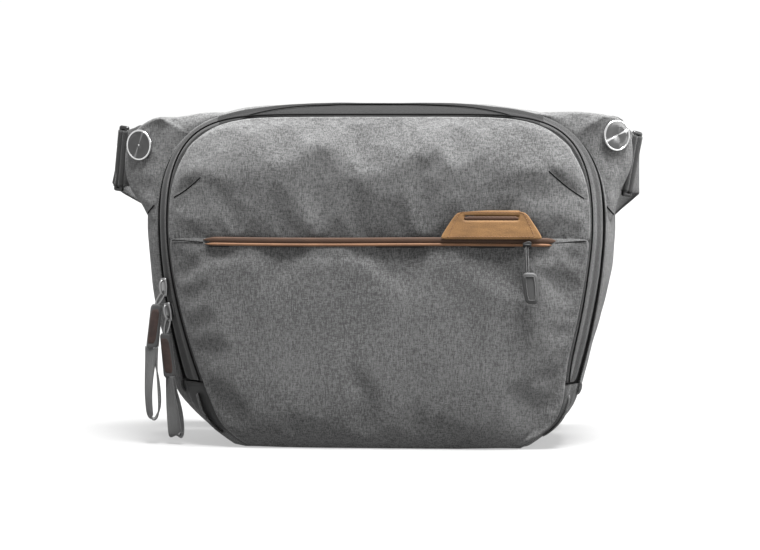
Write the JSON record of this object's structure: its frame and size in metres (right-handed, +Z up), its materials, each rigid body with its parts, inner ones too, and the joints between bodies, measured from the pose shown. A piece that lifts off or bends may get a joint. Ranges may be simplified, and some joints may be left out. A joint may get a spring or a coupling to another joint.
{
  "type": "camera bag",
  "caption": "Soft shoulder camera bag with a fold-down zipped front, a zipped front pocket, round metal strap anchors, movable padded dividers and a webbing strap.",
  "frame": {"origin": "centre of the base's underside, where the bag stands", "axes": "+X to the right seen from the front, -Y out of the front, +Z up"},
  "size_m": [0.3615, 0.1799, 0.2295],
  "materials": {
    "heather_fabric": "heathered canvas",
    "smooth_fabric": "smooth dark woven gusset fabric",
    "webbing": "ribbed woven webbing",
    "lining": "brushed loop lining",
    "mesh_padding": "spacer mesh",
    "stiffener": "sheet plastic",
    "zip_coil": "coil zip on tape",
    "slider_metal": "gunmetal plating",
    "anchor_metal": "turned face, polished edge",
    "leather_trim": "smooth tan edge",
    "leather_pull": "dark brown, stitched",
    "label": "satin label patch",
    "ribbon": "narrow grey ribbon",
    "buckle_metal": "dark anodised"
  },
  "bodies": {
    "bag_body": {"base_panel": "heather_fabric", "base_stiffener": "stiffener", "back_panel": "heather_fabric", "back_stiffener": "stiffener", "tablet_sleeve": "lining", "top_wall": "heather_fabric", "side_wall_left": "heather_fabric", "side_wall_right": "heather_fabric", "lower_side_left": "heather_fabric", "lower_side_right": "heather_fabric", "lower_front_wall": "lining", "back_pads": "mesh_padding", "pocket_face_lower": "heather_fabric", "main_zip_rear_half": "zip_coil", "zip_garages": "smooth_fabric", "carry_straps": "webbing", "wing_left": "heather_fabric", "wing_right": "heather_fabric", "anchor_disc_left": "anchor_metal", "anchor_disc_right": "anchor_metal", "anchor_studs": "anchor_metal", "anchor_backplates": "anchor_metal", "strap_drop_left": "webbing", "strap_drop_right": "webbing", "strap_floor_run": "webbing", "adjuster_frame": "buckle_metal", "adjuster_pin": "buckle_metal"},
    "front_lid": {"lid_core": "lining", "lid_organizer": "lining", "upper_front_panel": "heather_fabric", "pocket_face_upper": "heather_fabric", "lid_band_left": "smooth_fabric", "lid_band_right": "smooth_fabric", "lid_band_top": "heather_fabric", "main_zip_front_half": "zip_coil", "pocket_zip_chain": "zip_coil", "trim_lower_lip": "leather_trim", "trim_upper_lip": "leather_trim", "label_patch": "label"},
    "pocket_slider": {"pocket_slider": "slider_metal"},
    "pocket_pull": {"pocket_pull_cord": "ribbon", "pocket_pull_tab": "leather_pull"},
    "upper_slider": {"upper_slider": "slider_metal"},
    "upper_pull": {"upper_pull_link": "slider_metal", "upper_pull_tab": "leather_pull", "upper_pull_loop": "ribbon"},
    "lower_slider": {"lower_slider": "slider_metal"},
    "lower_pull": {"lower_pull_link": "slider_metal", "lower_pull_tab": "leather_pull", "lower_pull_loop": "ribbon"},
    "connector_left": {"connector_tab_left": "webbing", "strap_ring_left": "buckle_metal"},
    "connector_right": {"connector_tab_right": "webbing", "strap_ring_right": "buckle_metal"},
    "strap_pad": {"shoulder_pad": "mesh_padding"},
    "adjuster_lever": {"adjuster_lever": "buckle_metal"},
    "divider_left": {"divider_base_left": "lining"},
    "divider_right": {"divider_base_right": "lining"},
    "flap_left": {"divider_flap_left": "lining"},
    "flap_right": {"divider_flap_right": "lining"}
  },
  "joints": [
    {"name": "lid_fold", "type": "hinge", "parent": "bag_body", "child": "front_lid", "pos_m": [0, -0.06, 0.043], "axis": [1, 0, 0], "range_deg": [0, 60]},
    {"name": "pocket_slider_travel", "type": "slide", "parent": "front_lid", "child": "pocket_slider", "axis": [-1, 0, 0], "range_m": [0, 0.2]},
    {"name": "pocket_pull_swing", "type": "hinge", "parent": "pocket_slider", "child": "pocket_pull", "pos_m": [0.099, -0.06627, 0.136], "axis": [-1, 0, 0], "range_deg": [0, 100]},
    {"name": "upper_slider_travel", "type": "slide", "parent": "bag_body", "child": "upper_slider", "axis": [-0.0981, 0, 0.9952], "range_m": [0, 0.034]},
    {"name": "upper_pull_swing", "type": "hinge", "parent": "upper_slider", "child": "upper_pull", "pos_m": [-0.15143, -0.0288, 0.10551], "axis": [0, 1, 0], "range_deg": [0, 110]},
    {"name": "lower_slider_travel", "type": "slide", "parent": "bag_body", "child": "lower_slider", "axis": [0.2161, 0, -0.9764], "range_m": [0, 0.03]},
    {"name": "lower_pull_swing", "type": "hinge", "parent": "lower_slider", "child": "lower_pull", "pos_m": [-0.14861, -0.0288, 0.08852], "axis": [-0.9764, 0, -0.2161], "range_deg": [0, 30]},
    {"name": "connector_left_swivel", "type": "hinge", "parent": "bag_body", "child": "connector_left", "pos_m": [-0.164, -0.01566, 0.2015], "axis": [-0.4695, -0.8829, 0], "range_deg": [-75, 10]},
    {"name": "connector_right_swivel", "type": "hinge", "parent": "bag_body", "child": "connector_right", "pos_m": [0.1566, -0.01823, 0.208], "axis": [0.5592, -0.829, 0], "range_deg": [0, 75]},
    {"name": "shoulder_pad_travel", "type": "slide", "parent": "bag_body", "child": "strap_pad", "axis": [1, 0, 0], "range_m": [-0.01, 0.015]},
    {"name": "adjuster_lever_swing", "type": "hinge", "parent": "bag_body", "child": "adjuster_lever", "pos_m": [-0.08, 0.086, 0.0086], "axis": [0, -1, 0], "range_deg": [0, 100]},
    {"name": "divider_left_travel", "type": "slide", "parent": "bag_body", "child": "divider_left", "axis": [1, 0, 0], "range_m": [-0.015, 0.015]},
    {"name": "divider_right_travel", "type": "slide", "parent": "bag_body", "child": "divider_right", "axis": [1, 0, 0], "range_m": [-0.015, 0.015]},
    {"name": "flap_left_fold", "type": "hinge", "parent": "divider_left", "child": "flap_left", "pos_m": [-0.048, 0, 0.111], "axis": [0, -1, 0], "range_deg": [0, 60]},
    {"name": "flap_right_fold", "type": "hinge", "parent": "divider_right", "child": "flap_right", "pos_m": [0.048, 0, 0.111], "axis": [0, 1, 0], "range_deg": [0, 60]}
  ]
}
